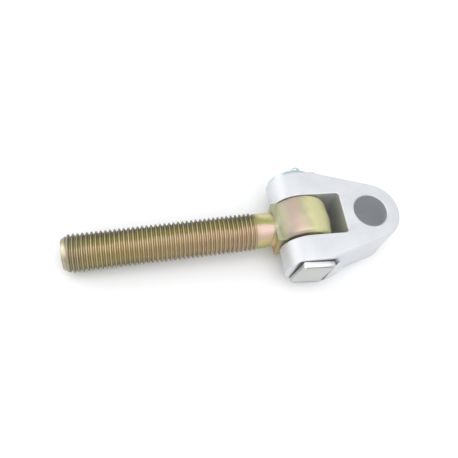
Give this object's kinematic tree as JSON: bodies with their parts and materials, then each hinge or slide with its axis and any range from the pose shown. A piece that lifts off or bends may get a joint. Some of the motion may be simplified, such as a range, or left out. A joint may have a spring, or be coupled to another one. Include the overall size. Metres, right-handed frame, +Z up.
{
  "type": "clevis rod end",
  "caption": "Forged fork hinged by a headed pin to an eye on a long threaded rod.",
  "frame": {"origin": "centre of the fork's nose bore", "axes": "+X from the rod to the fork's nose, +Y along the hinge pin to its split pin, +Z up from the surface it lies on"},
  "size_m": [0.2678, 0.09, 0.0488],
  "materials": {
    "fork_zinc": "satin zinc on a blasted forging",
    "rod_yellow_zinc": "yellow passivated zinc, iridescent",
    "pin_zinc": "satin zinc",
    "hardware_zinc": "bright zinc"
  },
  "bodies": {
    "fork": {"fork": "fork_zinc", "pin": "pin_zinc", "washer": "hardware_zinc", "split_pin": "hardware_zinc"},
    "rod": {"eye_rod": "rod_yellow_zinc"}
  },
  "joints": [
    {"name": "fork_hinge", "type": "hinge", "parent": "fork", "child": "rod", "pos_m": [-0.05441, 0, 0.00311], "axis": [0, 1, 0], "range_deg": [-117.7, 130.3]}
  ]
}
